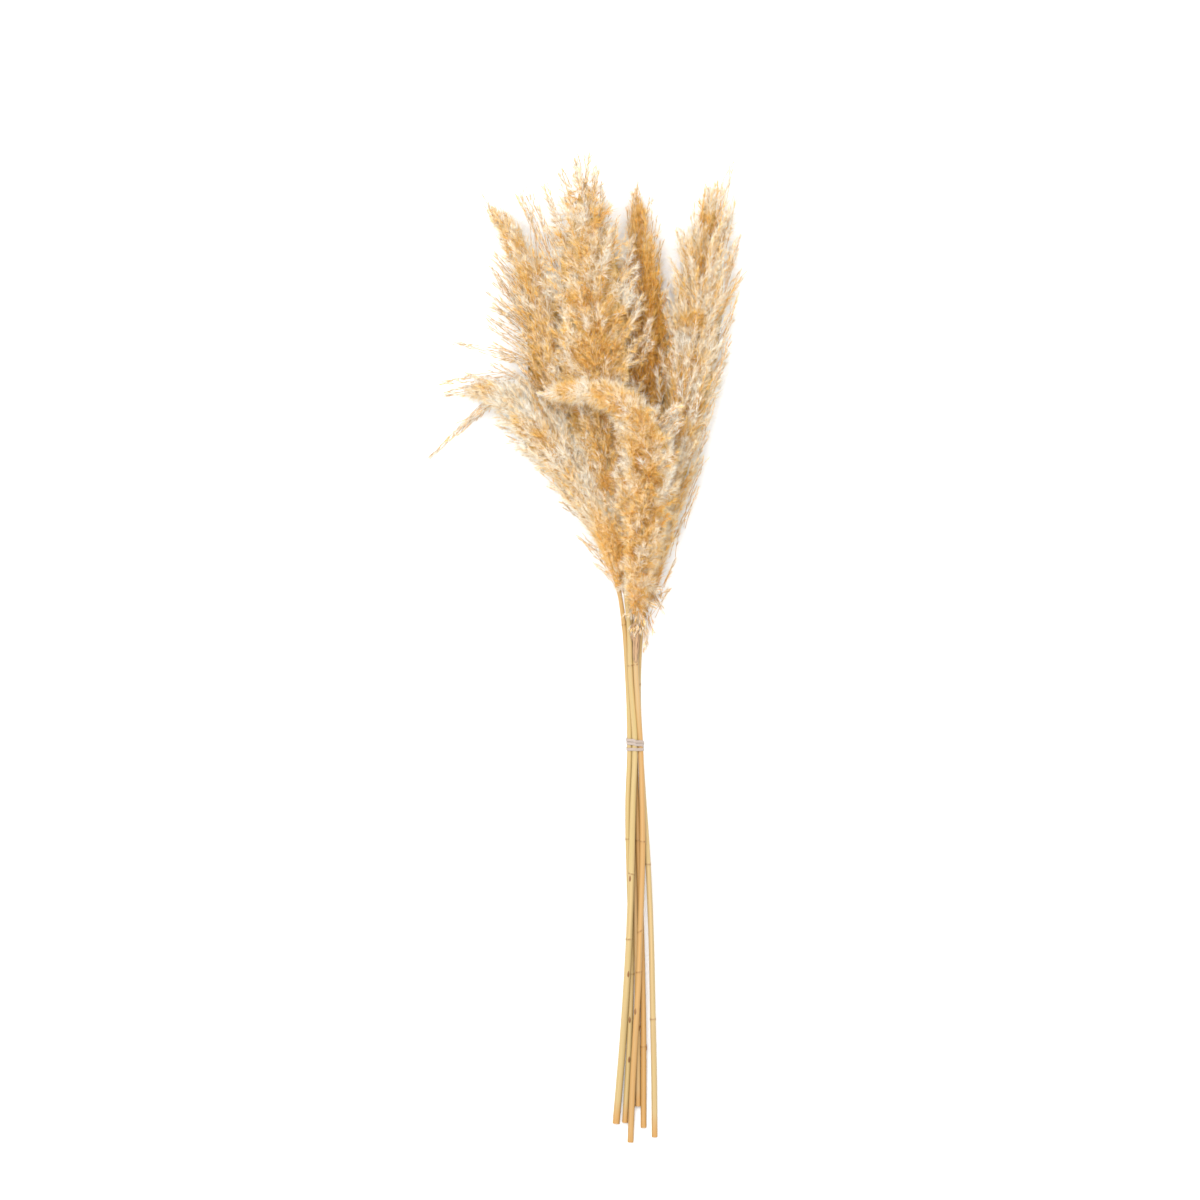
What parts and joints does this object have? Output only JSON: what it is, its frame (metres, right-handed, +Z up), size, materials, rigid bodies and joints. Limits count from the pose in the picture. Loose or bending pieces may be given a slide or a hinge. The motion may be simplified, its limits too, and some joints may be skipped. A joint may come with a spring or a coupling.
{
  "type": "bundle of pampas grass",
  "caption": "Bundle of dried pampas grass lying on its side: bare golden stems held by a pale elastic tie, opening into a loose fan of silky plumes.",
  "frame": {"origin": "on the surface that the bundle lies on, under the middle of its box", "axes": "+Z up; +Y along the stems, from the cut ends towards the plume tips; +X to the right of the bundle seen from above with the plume tips away from the viewer"},
  "size_m": [0.317, 0.989, 0.1366],
  "materials": {
    "stem": "satin",
    "plume": "matte",
    "husk": "matte",
    "band": "matte"
  },
  "bodies": {
    "root": {"stem_top": "stem", "stem_left": "stem", "stem_centre": "stem", "stem_right": "stem", "stem_drooping": "stem", "stem_front": "stem", "plume_top": "plume", "plume_left": "plume", "plume_centre": "plume", "plume_right": "plume", "plume_drooping": "plume", "plume_front": "plume", "leaf_sheath": "husk", "husk_scrap": "husk", "tie_band": "band"}
  },
  "joints": []
}
